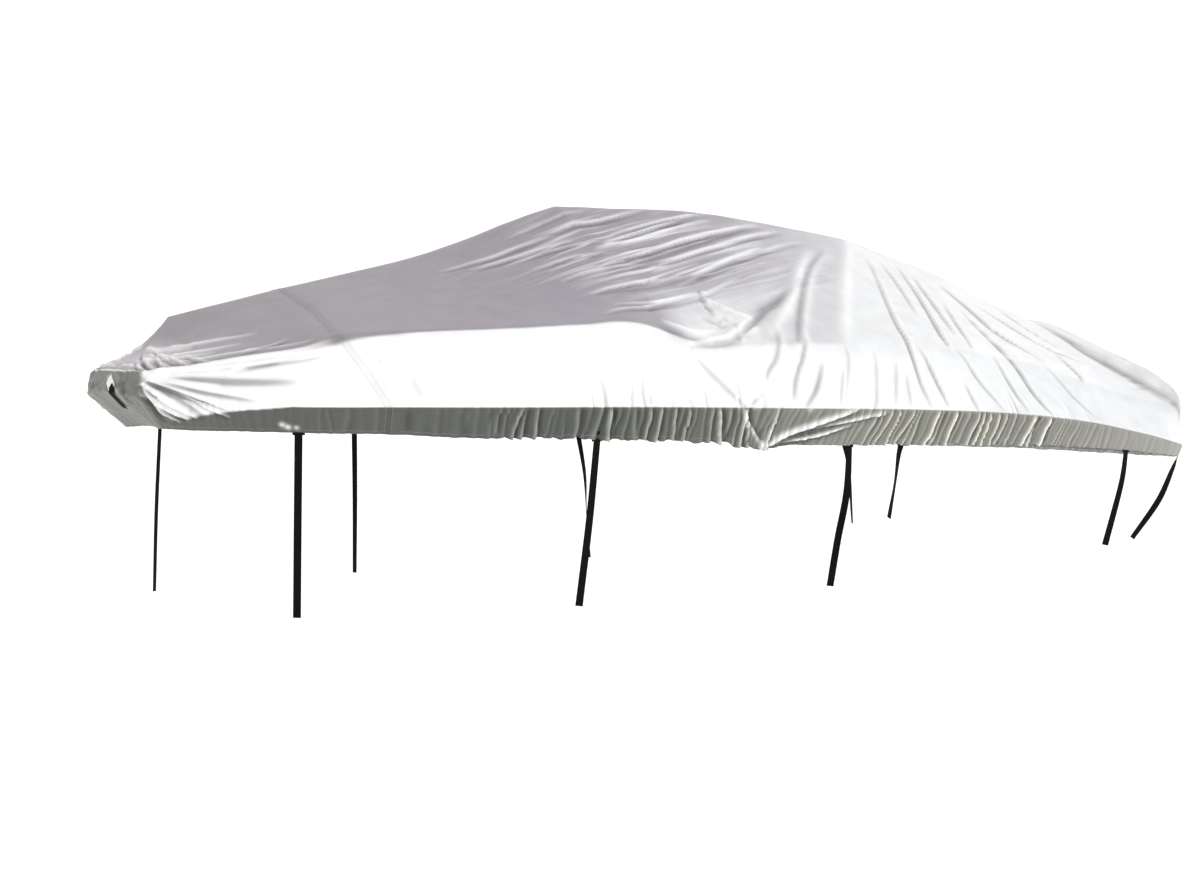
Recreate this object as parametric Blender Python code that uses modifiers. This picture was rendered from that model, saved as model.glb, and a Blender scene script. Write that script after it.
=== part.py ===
"""Fitted trailering cover for a 5.3 m V-hull runabout, in two sewn panels with webbing tie-downs.

Frame: X runs aft along the centreline (bow towards -X), Y to starboard, Z up, in metres.
The origin is on the centreline against the underside of the top, where the boat holds it up.
Heights in the tables are above the ground that the boat's trailer stands on.
"""
import math

import bmesh
import bpy
import numpy as np
from mathutils import Vector

ORIGIN_HEIGHT = 2.134
CLOTH_THICKNESS = 0.002
WEBBING_WIDTH = 0.032
WEBBING_THICKNESS = 0.0016
TAB_WIDTH = 0.050
PIECE_GAP = 0.0012

SIDES = {"port": -1, "starboard": 1}

# The cover is swept by ribs that run from the ridge down to the hem, from the middle of the bow
# (first row) round one side to the middle of the transom (last row). Each rib has four corners:
# ridge, shoulder (edge of the deck), rail (widest line) and hem (tucked in under the rail).
RIB_COLUMNS = ("edge_x", "rail_y", "rail_h", "setback", "shoulder_h", "tuck", "hem_h",
               "ridge_x", "ridge_h", "crown", "rake")
RIBS = np.array((
    (-2.630, 0.000, 1.310, 0.012, 1.397, 0.200, 1.168, -2.330, 1.626, -0.050, 0.00),
    (-2.620, 0.150, 1.300, 0.012, 1.392, 0.180, 1.165, -2.330, 1.626, -0.050, 0.00),
    (-2.560, 0.270, 1.290, 0.020, 1.385, 0.140, 1.162, -2.330, 1.626, -0.045, 0.00),
    (-2.420, 0.430, 1.270, 0.030, 1.400, 0.100, 1.158, -2.300, 1.632, -0.035, -0.02),
    (-2.220, 0.610, 1.252, 0.040, 1.435, 0.070, 1.152, -2.200, 1.655, -0.020, -0.07),
    (-2.000, 0.765, 1.246, 0.050, 1.475, 0.060, 1.147, -2.000, 1.702, -0.010, -0.13),
    (-1.820, 0.855, 1.244, 0.060, 1.525, 0.055, 1.143, -1.820, 1.745, 0.000, -0.16),
    (-1.500, 0.955, 1.241, 0.070, 1.545, 0.050, 1.125, -1.500, 1.815, 0.000, -0.10),
    (-1.170, 1.020, 1.238, 0.080, 1.558, 0.050, 1.118, -1.170, 1.893, 0.000, -0.03),
    (-0.920, 1.052, 1.236, 0.090, 1.570, 0.050, 1.112, -0.920, 1.972, 0.000, 0.00),
    (-0.660, 1.075, 1.233, 0.100, 1.578, 0.050, 1.100, -0.660, 2.068, 0.000, 0.00),
    (-0.410, 1.088, 1.230, 0.100, 1.520, 0.050, 1.090, -0.410, 2.151, 0.000, 0.00),
    (-0.100, 1.096, 1.225, 0.090, 1.475, 0.050, 1.070, -0.100, 2.153, 0.000, 0.00),
    (0.350, 1.100, 1.215, 0.090, 1.480, 0.050, 1.060, 0.350, 2.155, 0.000, 0.00),
    (0.800, 1.100, 1.205, 0.110, 1.480, 0.050, 1.050, 0.800, 2.115, 0.000, 0.00),
    (1.320, 1.098, 1.185, 0.180, 1.455, 0.050, 1.040, 1.320, 2.051, 0.000, 0.00),
    (1.660, 1.094, 1.160, 0.240, 1.420, 0.045, 1.030, 1.660, 1.964, 0.000, 0.00),
    (2.000, 1.086, 1.125, 0.240, 1.360, 0.040, 1.012, 2.000, 1.874, 0.000, 0.00),
    (2.380, 1.074, 1.065, 0.180, 1.260, 0.030, 0.982, 2.340, 1.745, 0.000, 0.00),
    (2.620, 1.064, 1.015, 0.060, 1.200, 0.025, 0.958, 2.500, 1.700, 0.000, 0.00),
    (2.695, 1.035, 1.000, 0.015, 1.225, 0.020, 0.950, 2.560, 1.675, 0.000, 0.00),
    (2.712, 0.960, 1.000, 0.010, 1.310, 0.020, 0.948, 2.590, 1.660, 0.000, 0.00),
    (2.715, 0.550, 1.010, 0.010, 1.475, 0.020, 0.950, 2.600, 1.655, 0.000, 0.00),
    (2.720, 0.000, 1.015, 0.010, 1.634, 0.020, 0.955, 2.600, 1.652, 0.000, 0.00),
))
LAST_RIB = len(RIBS) - 1
RIDGE_X = RIB_COLUMNS.index("ridge_x")
RIDGE_H = RIB_COLUMNS.index("ridge_h")
PEAK_RIBS = (11, 15)    # the ridge bends sharply over what holds it up, within about a rib
PEAK_REACH = 0.9
SEAM_RIB = 6.0          # the cross seam between the bow panel and the main panel
SEAM_GAP_RIBS = 0.003

# Down a rib: 0 is the ridge, 1 the shoulder, 2 the rail and 3 the hem.
RUNGS = (0, 0.10, 0.28, 0.46, 0.64, 0.82, 0.95, 1.10, 1.40, 1.75, 1.95, 2.08, 2.5, 3.0)
RIDGE_ROUND = 0.05      # how far each corner's rounding reaches, in rungs before and after it
SHOULDER_ROUND = (0.08, 0.22)
RAIL_ROUND = (0.05, 0.12)
BOW_RIBS = 15           # mesh ribs on each side of a panel
MAIN_RIBS = 64
MERGE_DISTANCE = 0.012  # ribs that crowd together at the two ends of the ridge share a point
RIDGE_MARGIN = 0.025

# Main folds: each runs straight over the cloth from one place to another, as a soft ridge
# (height above 0) or trough (below 0) that fades out at both ends.
FOLD_COLUMNS = ("side", "from_rib", "from_rung", "to_rib", "to_rung", "half_width", "height")
FOLDS = (
    ("both", 1.7, 1.10, 5.7, 1.08, 0.050, 0.016),
    ("both", 1.8, 1.30, 4.8, 1.50, 0.050, -0.014),
    ("both", 1.8, 1.50, 3.1, 2.70, 0.045, 0.018),
    ("both", 1.4, 1.50, 2.5, 2.80, 0.045, -0.018),
    ("port", 8.0, 0.24, 11.6, 0.20, 0.060, 0.010),
    ("both", 11.2, 0.32, 14.2, 0.06, 0.070, 0.012),
    ("both", 11.0, 0.55, 14.6, 0.16, 0.070, -0.012),
    ("both", 12.2, 0.72, 15.0, 0.12, 0.070, 0.012),
    ("both", 14.6, 0.22, 12.5, 1.98, 0.070, -0.022),
    ("both", 13.9, 0.40, 12.1, 0.98, 0.060, -0.018),
    ("both", 15.0, 0.10, 13.1, 1.90, 0.060, 0.020),
    ("port", 12.3, 2.90, 13.4, 2.02, 0.050, -0.020),
    ("both", 15.1, 0.18, 14.3, 1.92, 0.060, -0.018),
    ("both", 15.9, 0.20, 14.9, 1.80, 0.060, -0.018),
    ("both", 16.3, 0.50, 16.2, 1.96, 0.060, -0.020),
    ("starboard", 16.8, 0.40, 16.9, 1.90, 0.060, 0.020),
    ("both", 16.6, 0.20, 17.3, 1.30, 0.060, -0.020),
    ("both", 20.3, 0.10, 19.4, 0.60, 0.070, -0.030),
    ("both", 19.4, 0.60, 20.0, 1.50, 0.070, -0.025),
    ("both", 22.4, 1.20, 22.4, 2.60, 0.080, 0.014),
)
FOLD_STEPS = 24

# Tie-down straps, one row for each, on both sides: where along the hem it is sewn, and the
# points that it passes on its way down to the trailer, as (x, half-width y, height, turn).
# The turn is the angle of the webbing's flat away from the boat's side, in degrees.
STRAPS = (
    ("strap_1", 4.45, ((-2.095, 0.645, 0.780, 0), (-2.104, 0.652, 0.415, 4))),
    ("strap_2", 9.10, ((-0.905, 0.970, 0.780, 10), (-0.931, 0.930, 0.413, 20))),
    ("strap_3", 13.25, ((0.478, 1.010, 0.840, 25), (0.462, 0.970, 0.630, 50), (0.452, 0.930, 0.417, 30))),
    ("strap_4", 17.70, ((2.286, 1.000, 0.821, 15), (2.251, 0.930, 0.517, 35))),
    ("strap_5", 20.30, ((2.661, 0.998, 0.879, 40), (2.601, 0.962, 0.724, 65), (2.491, 0.891, 0.538, 50))),
)
STRAP_END_LENGTH = 0.040   # the last stretch of each strap is flat
TAB_ABOVE_HEM = 0.030
TAB_BELOW_HEM = 0.014
# The bow strap's line over the nose: down the face, then slanting forward towards the stem.
NOSE_TIE_RUNGS = (1.40, 1.75, 1.96, 2.12, 2.26, 2.44)
TIE_STEP = 0.05
NOSE_TIE_RIBS = (0.30, 0.52, 0.58, 0.42, 0.28, 0.14)
TAB_CLEARANCE = 0.0060  # the tab hangs inside the band, clear of its cloth


def blended(rib, rows):
    """A smooth row of the table at a fractional place in it, mirrored beyond both ends."""
    before, after = rows[1].copy(), rows[-2].copy()
    before[1] *= -1
    after[1] *= -1
    rows = np.vstack((before, rows, after))
    rib = np.clip(rib, 0, LAST_RIB)
    low = np.minimum(rib.astype(int), LAST_RIB - 1)
    f = (rib - low)[..., None]
    a, b, c, d = rows[low], rows[low + 1], rows[low + 2], rows[low + 3]
    smooth = 0.5 * (2 * b + (c - a) * f + (2 * a - 5 * b + 4 * c - d) * f**2 + (3 * b - a - 3 * c + d) * f**3)
    peaked = sum(np.exp(-((rib - peak) / PEAK_REACH) ** 2) for peak in PEAK_RIBS)
    smooth[..., RIDGE_H] += (b * (1 - f) + c * f - smooth)[..., RIDGE_H] * peaked
    return smooth


def outward(rib):
    """The rail's outward direction in plan."""
    step = 1e-3
    ahead = blended(np.minimum(rib + step, LAST_RIB), RIBS)
    behind = blended(np.maximum(rib - step, 0), RIBS)
    along = (ahead - behind)[..., :2]
    across = np.stack((-along[..., 1], along[..., 0]), axis=-1)
    return across / np.linalg.norm(across, axis=-1, keepdims=True)


def corners(rib):
    """Ridge, shoulder, rail and hem points of ribs on the +Y side, and their crown."""
    row = dict(zip(RIB_COLUMNS, np.moveaxis(blended(rib, RIBS), -1, 0)))
    out_x, out_y = np.moveaxis(outward(rib), -1, 0)

    def inset(distance, height, shift=0.0):
        x = row["edge_x"] - out_x * distance + shift
        y = np.maximum(row["rail_y"] - out_y * distance, 0)
        return np.stack((x, y, height), axis=-1)

    ridge = np.stack((row["ridge_x"], 0 * row["ridge_x"], row["ridge_h"]), axis=-1)
    points = (ridge, inset(row["setback"], row["shoulder_h"], row["rake"]),
              inset(0, row["rail_h"]), inset(row["tuck"], row["hem_h"]))
    return points, row["crown"]


def section(rib, rung):
    """Points of the cover's smooth shape, before folds, on the +Y side."""
    points, crown = corners(rib)

    def straight(t):
        mirrored = t < 0
        t = np.abs(t)
        low = np.minimum(t.astype(int), 2)
        f = (t - low)[..., None]
        start = np.choose(low[..., None], points[:3])
        end = np.choose(low[..., None], points[1:])
        p = start * (1 - f) + end * f
        p[..., 2] += np.where(low == 0, 4 * f[..., 0] * (1 - f[..., 0]) * crown, 0)
        p[..., 1] = np.where(mirrored, -p[..., 1], p[..., 1])
        return p

    result = straight(rung)
    for corner, (before, after) in enumerate(((RIDGE_ROUND, RIDGE_ROUND), SHOULDER_ROUND, RAIL_ROUND)):
        s = (rung - corner + before) / (before + after)
        a = straight(np.full_like(rung, corner - before))
        b = straight(np.full_like(rung, corner + after))
        tip = straight(np.full_like(rung, float(corner)))
        s3 = np.clip(s, 0, 1)[..., None]
        bend = a * (1 - s3) ** 2 + 2 * tip * s3 * (1 - s3) + b * s3**2
        result = np.where(((s > 0) & (s < 1))[..., None], bend, result)
    return result


def normals(rib, rung):
    step = 0.02
    along = section(np.minimum(rib + step, LAST_RIB), rung) - section(np.maximum(rib - step, 0), rung)
    down = section(rib, np.minimum(rung + step, 3)) - section(rib, rung - step)
    n = np.cross(along, down)
    return n / np.maximum(np.linalg.norm(n, axis=-1, keepdims=True), 1e-9)


def fold_height(points, side):
    """How far the folds of one side lift the cloth at each of these points."""
    height = np.zeros(points.shape[:-1])
    u = np.linspace(0, 1, FOLD_STEPS)
    fade_in = np.sin(np.pi * u) ** 0.6
    for fold in FOLDS:
        row = dict(zip(FOLD_COLUMNS, fold))
        if row["side"] not in (side, "both"):
            continue
        rib = row["from_rib"] + (row["to_rib"] - row["from_rib"]) * u
        rung = row["from_rung"] + (row["to_rung"] - row["from_rung"]) * u
        path = section(rib, rung)
        distance = np.linalg.norm(points[..., None, :] - path, axis=-1)
        nearest = distance.argmin(axis=-1)
        across = distance.min(axis=-1) / row["half_width"]
        height += row["height"] * fade_in[nearest] * np.exp(-across**2)
    middle = np.clip(points[..., 1] / 0.05, 0, 1)
    return height * middle


def cover_point(rib, rung, side):
    """Finished outer points of the cloth in the part's frame, for arrays of ribs and rungs."""
    p = section(rib, rung)
    n = normals(rib, rung)
    p = p + n * fold_height(p, side)[..., None]
    p[..., 1] *= SIDES[side]
    p[..., 2] -= ORIGIN_HEIGHT
    return p


def even_ribs(first, last, count):
    """Rib places from first to last, evenly spaced along the rail."""
    fine = np.linspace(first, last, 400)
    rail = section(fine, np.full_like(fine, 2.0))
    length = np.concatenate(([0], np.cumsum(np.linalg.norm(np.diff(rail, axis=0), axis=1))))
    return np.interp(np.linspace(0, length[-1], count), length, fine)


def material(name, colour, roughness, sheen=0.0):
    mat = bpy.data.materials.new(name)
    mat.use_nodes = True
    shader = mat.node_tree.nodes["Principled BSDF"]
    shader.inputs["Base Color"].default_value = (*colour, 1)
    shader.inputs["Roughness"].default_value = roughness
    shader.inputs["Metallic"].default_value = 0.0
    shader.inputs["Sheen Weight"].default_value = sheen
    return mat


def add_object(name, bm, thickness, mat, collection, offset=-1.0):
    """Turn an open sheet into an object with a Solidify modifier of the given thickness."""
    mesh = bpy.data.meshes.new(name)
    bm.to_mesh(mesh)
    bm.free()
    mesh.materials.append(mat)
    obj = bpy.data.objects.new(name, mesh)
    collection.objects.link(obj)
    shell = obj.modifiers.new("Thickness", "SOLIDIFY")
    shell.thickness = thickness
    shell.offset = offset
    shell.use_rim = True
    mesh.shade_smooth()
    return obj


def panel(name, ribs, mat, collection):
    """One sewn panel: a sheet from hem to hem over the ridge, between two ribs."""
    bm = bmesh.new()
    rib, rung = np.meshgrid(ribs, np.array(RUNGS, dtype=float), indexing="ij")
    grids = {side: cover_point(rib, rung, side) for side in SIDES}
    for side, grid in grids.items():
        verts = [[bm.verts.new(p) for p in row] for row in grid]
        for here, following in zip(verts, verts[1:]):
            for i in range(len(RUNGS) - 1):
                corners_of_face = [here[i], here[i + 1], following[i + 1], following[i]]
                if side == "port":
                    corners_of_face.reverse()
                bm.faces.new(corners_of_face)
    weld_middle(bm)
    return add_object(name, bm, CLOTH_THICKNESS, mat, collection)


def weld_middle(bm):
    """Join the two sides on the centreline and the ribs that crowd together at the ridge's ends."""
    on_middle = [v for v in bm.verts if abs(v.co.y) < 1e-5]
    for v in on_middle:
        v.co.y = 0
    bmesh.ops.remove_doubles(bm, verts=on_middle, dist=1e-5)
    on_ridge = [v for v in bm.verts if v.co.y == 0 and v.link_faces and is_ridge(v)]
    bmesh.ops.remove_doubles(bm, verts=on_ridge, dist=MERGE_DISTANCE)
    bmesh.ops.recalc_face_normals(bm, faces=bm.faces)
    highest = max(bm.faces, key=lambda f: f.calc_center_median().z)
    if highest.normal.z < 0:
        bmesh.ops.reverse_faces(bm, faces=bm.faces)


def is_ridge(vertex):
    """True on the ridge, where the lowest point is its foot at the bow."""
    first, last = RIBS[0], RIBS[-1]
    inside = first[RIDGE_X] - RIDGE_MARGIN < vertex.co.x < last[RIDGE_X] + RIDGE_MARGIN
    return inside and vertex.co.z + ORIGIN_HEIGHT > first[RIDGE_H] - RIDGE_MARGIN


def ribbon(name, stops, width, thickness, mat, collection):
    """A flat strip of webbing through stops of (point, width direction)."""
    bm = bmesh.new()
    edges = []
    for point, across in stops:
        half = Vector(across).normalized() * width / 2
        edges.append((bm.verts.new(Vector(point) - half), bm.verts.new(Vector(point) + half)))
    for (a, b), (c, d) in zip(edges, edges[1:]):
        bm.faces.new((a, b, d, c))
    return add_object(name, bm, thickness, mat, collection, offset=0.0)


def turned(side, rib, degrees):
    """The webbing's width direction: along the rail there, turned about the vertical."""
    out_x, out_y = outward(np.array(rib, dtype=float))
    angle = math.radians(degrees)
    along = Vector((out_y, -out_x, 0))
    across = Vector((out_x, out_y, 0))
    direction = along * math.cos(angle) + across * math.sin(angle)
    direction.y *= SIDES[side]
    return direction


def tie_down(name, side, rib, passes, webbing, collection):
    """A tab sewn inside the hem and the strap that hangs from it to the trailer."""
    (_, _, rail, hem), _ = corners(np.array(rib, dtype=float))
    band_normal = normals(np.array(rib, dtype=float), np.array(2.7))
    up_band = (rail - hem) / np.linalg.norm(rail - hem)
    sideways = turned(side, rib, 0)

    def placed(point):
        x, y, h = point
        return x, y * SIDES[side], h - ORIGIN_HEIGHT

    tab_line = hem - band_normal * TAB_CLEARANCE
    tab_foot = tab_line - np.array((0, 0, TAB_BELOW_HEM))
    tab_stops = [(placed(tab_line + up_band * TAB_ABOVE_HEM), sideways),
                 (placed(tab_line), sideways), (placed(tab_foot), sideways)]
    ribbon(f"{name}_tab_{side}", tab_stops, TAB_WIDTH, WEBBING_THICKNESS, webbing, collection)

    strap_top = tab_foot - np.array((0, 0, WEBBING_THICKNESS))
    stops = [(placed(strap_top), sideways)]
    for x, y, h, turn in passes:
        stops.append((placed((x, y, h)), turned(side, rib, turn)))
    ribbon(f"{name}_{side}", smooth_stops(stops), WEBBING_WIDTH, WEBBING_THICKNESS, webbing, collection)


def smooth_stops(stops, steps=5):
    """More stops along a smooth curve through the given ones."""
    table = np.array([(*point, *across) for point, across in stops])
    padded = np.vstack((2 * table[0] - table[1], table, 2 * table[-1] - table[-2]))
    result = []
    for i in range(len(table) - 1):
        a, b, c, d = padded[i:i + 4]
        for f in np.arange(steps) / steps:
            result.append(0.5 * (2 * b + (c - a) * f + (2 * a - 5 * b + 4 * c - d) * f**2
                                 + (3 * b - a - 3 * c + d) * f**3))
    flat_end = table[-1].copy()
    run = flat_end[:3] - result[-1][:3]
    flat_end[:3] -= run / np.linalg.norm(run) * STRAP_END_LENGTH
    result += [flat_end, table[-1]]
    return [(row[:3], row[3:]) for row in result]


def bow_tie(webbing, patch_mat, collection):
    """The nose's sewn-on patch, and the short strap that runs down from it."""
    patch_lift = PIECE_GAP + WEBBING_THICKNESS / 2
    strap_lift = patch_lift + PIECE_GAP + WEBBING_THICKNESS
    patch = nose_stops(np.arange(1.40, 1.81, TIE_STEP), patch_lift)
    strap = nose_stops(np.arange(1.70, 2.46, TIE_STEP), strap_lift)
    ribbon("bow_patch", patch, TAB_WIDTH, WEBBING_THICKNESS, patch_mat, collection)
    ribbon("strap_bow", strap, WEBBING_WIDTH, WEBBING_THICKNESS, webbing, collection)


def nose_line(rung, lift):
    rib = np.interp(rung, NOSE_TIE_RUNGS, NOSE_TIE_RIBS)
    out = normals(rib, rung) * np.array((1, -1, 1))
    return cover_point(rib, rung, "port") + out * lift, out


def nose_stops(rung, lift):
    """Stops (point, across) of a strip that lies on the cloth of the nose and runs down it."""
    points, out = nose_line(rung, lift)
    along = nose_line(rung + TIE_STEP / 2, 0)[0] - nose_line(rung - TIE_STEP / 2, 0)[0]
    across = np.cross(along, out)
    return [(p, a / np.linalg.norm(a)) for p, a in zip(points, across)]


def main():
    for obj in list(bpy.data.objects):
        bpy.data.objects.remove(obj, do_unlink=True)
    collection = bpy.data.collections.new("boat_cover")
    bpy.context.scene.collection.children.link(collection)
    cloth = material("silver_polyester", (0.55, 0.53, 0.55), 0.45, sheen=0.2)
    webbing = material("black_webbing", (0.012, 0.012, 0.013), 0.7)

    bow_ribs = even_ribs(0, SEAM_RIB - SEAM_GAP_RIBS, BOW_RIBS)
    main_ribs = even_ribs(SEAM_RIB + SEAM_GAP_RIBS, LAST_RIB, MAIN_RIBS)
    panel("bow_panel", bow_ribs, cloth, collection)
    panel("main_panel", main_ribs, cloth, collection)
    for side in SIDES:
        for name, rib, passes in STRAPS:
            tie_down(name, side, rib, passes, webbing, collection)
    bow_tie(webbing, cloth, collection)


main()
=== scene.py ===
"""Looks of the fitted boat cover: its creased silver cloth, gathered hem, seam, patch and black
webbing straps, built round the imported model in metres, with +X aft, +Y to starboard and +Z up.
"""
import math

import bmesh
import bpy
import numpy as np
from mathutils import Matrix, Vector, noise


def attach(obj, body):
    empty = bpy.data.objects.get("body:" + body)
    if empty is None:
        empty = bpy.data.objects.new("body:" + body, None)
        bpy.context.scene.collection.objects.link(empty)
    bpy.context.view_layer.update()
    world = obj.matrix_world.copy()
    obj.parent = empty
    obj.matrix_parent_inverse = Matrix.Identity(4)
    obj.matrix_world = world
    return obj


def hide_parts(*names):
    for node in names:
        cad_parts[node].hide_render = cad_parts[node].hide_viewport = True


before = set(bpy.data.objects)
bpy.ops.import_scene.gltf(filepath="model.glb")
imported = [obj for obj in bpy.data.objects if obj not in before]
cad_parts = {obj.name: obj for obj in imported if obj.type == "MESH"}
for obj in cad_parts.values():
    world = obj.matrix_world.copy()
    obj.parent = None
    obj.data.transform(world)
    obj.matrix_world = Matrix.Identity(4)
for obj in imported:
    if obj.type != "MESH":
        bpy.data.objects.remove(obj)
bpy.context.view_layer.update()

ORIGIN_HEIGHT = 2.134    # heights in the tables are above the ground, and this is the origin's
SIDES = {"port": -1, "starboard": 1}

# The cover is swept by ribs that run from the ridge down to the hem, from the middle of the bow
# (first row) round one side to the middle of the transom (last row), as in the CAD model.
RIB_COLUMNS = ("edge_x", "rail_y", "rail_h", "setback", "shoulder_h", "tuck", "hem_h",
               "ridge_x", "ridge_h", "crown", "rake")
RIBS = np.array((
    (-2.63, 0, 1.31, 0.012, 1.397, 0.2, 1.168, -2.33, 1.626, -0.05, 0),
    (-2.62, 0.15, 1.3, 0.012, 1.392, 0.18, 1.165, -2.33, 1.626, -0.05, 0),
    (-2.56, 0.27, 1.29, 0.02, 1.385, 0.14, 1.162, -2.33, 1.626, -0.045, 0),
    (-2.42, 0.43, 1.27, 0.03, 1.4, 0.1, 1.158, -2.3, 1.632, -0.035, -0.02),
    (-2.22, 0.61, 1.252, 0.04, 1.435, 0.07, 1.152, -2.2, 1.655, -0.02, -0.07),
    (-2, 0.765, 1.246, 0.05, 1.475, 0.06, 1.147, -2, 1.702, -0.01, -0.13),
    (-1.82, 0.855, 1.244, 0.06, 1.525, 0.055, 1.143, -1.82, 1.745, 0, -0.16),
    (-1.5, 0.955, 1.241, 0.07, 1.545, 0.05, 1.125, -1.5, 1.815, 0, -0.1),
    (-1.17, 1.02, 1.238, 0.08, 1.558, 0.05, 1.118, -1.17, 1.893, 0, -0.03),
    (-0.92, 1.052, 1.236, 0.09, 1.57, 0.05, 1.112, -0.92, 1.972, 0, 0),
    (-0.66, 1.075, 1.233, 0.1, 1.578, 0.05, 1.1, -0.66, 2.068, 0, 0),
    (-0.41, 1.088, 1.23, 0.1, 1.52, 0.05, 1.09, -0.41, 2.151, 0, 0),
    (-0.1, 1.096, 1.225, 0.09, 1.475, 0.05, 1.07, -0.1, 2.153, 0, 0),
    (0.35, 1.1, 1.215, 0.09, 1.48, 0.05, 1.06, 0.35, 2.155, 0, 0),
    (0.8, 1.1, 1.205, 0.11, 1.48, 0.05, 1.05, 0.8, 2.115, 0, 0),
    (1.32, 1.098, 1.185, 0.18, 1.455, 0.05, 1.04, 1.32, 2.051, 0, 0),
    (1.66, 1.094, 1.16, 0.24, 1.42, 0.045, 1.03, 1.66, 1.964, 0, 0),
    (2, 1.086, 1.125, 0.24, 1.36, 0.04, 1.012, 2, 1.874, 0, 0),
    (2.38, 1.074, 1.065, 0.18, 1.26, 0.03, 0.982, 2.34, 1.745, 0, 0),
    (2.62, 1.064, 1.015, 0.06, 1.2, 0.025, 0.958, 2.5, 1.7, 0, 0),
    (2.695, 1.035, 1, 0.015, 1.225, 0.02, 0.95, 2.56, 1.675, 0, 0),
    (2.712, 0.96, 1, 0.01, 1.31, 0.02, 0.948, 2.59, 1.66, 0, 0),
    (2.715, 0.55, 1.01, 0.01, 1.475, 0.02, 0.95, 2.6, 1.655, 0, 0),
    (2.72, 0, 1.015, 0.01, 1.634, 0.02, 0.955, 2.6, 1.652, 0, 0),
))
LAST_RIB = len(RIBS) - 1
RIDGE_H = RIB_COLUMNS.index("ridge_h")
PEAK_RIBS = (11, 15)    # the ridge bends sharply over what holds it up, within about a rib
PEAK_REACH = 0.9
SEAM_RIB = 6.0

# Down a rib: 0 is the ridge, 1 the shoulder, 2 the rail and 3 the hem.
RIDGE_ROUND = 0.05
SHOULDER_ROUND = (0.08, 0.22)
RAIL_ROUND = (0.05, 0.12)

# Rows of the fine mesh down the top and the side. Below the rung in FINE_FROM they use all the
# ribs, and above it every second one. The port side lies in the light and is finer.
UPPER_ROWS = {
    ("bow_panel", "port"): (110, 40), ("bow_panel", "starboard"): (60, 20),
    ("main_panel", "port"): (108, 28), ("main_panel", "starboard"): (40, 14),
}
FINE_FROM = {"port": 1.0, "starboard": 5}
BAND_ROWS = {"port": 24, "starboard": 9}
FINE_RIBS = {"bow_panel": 321, "main_panel": 601}
RIB_DENSITY = (         # how closely the ribs stand along each side: rib, density
    (0, 1), (6, 1), (6.01, 0.45), (7.1, 0.5), (7.7, 1), (12, 1.15), (12.6, 1.4), (17.5, 1.4),
    (18.5, 0.7), (23, 0.7),
)
EVEN_DENSITY = ((0, 1), (23, 1))
MIDDLE = 1e-5           # in metres: a point this near the centreline is on it
RIDGE_ABOVE = -0.55     # points of the centreline above this z are on the ridge
CROWDED_GAP = 0.004
TOP_ROW_BIAS = 1.12     # the rows of the top are closer together towards the shoulder
TOP_ROWS_END = 0.965
SHOULDER_ROWS = (0.97, 0.985, 1.0, 1.015, 1.03)
SIDE_REACH = (1.06, 1.94)
RAIL_ROWS = (1.975, 1.99, 2.005, 2.02, 2.04)
BAND_FROM = 2.08
HEM_ROLL = ((0.0025, -0.0030), (0.0050, 0.0010), (0.0052, 0.0140))  # the turned-in hem: inward, up

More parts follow.
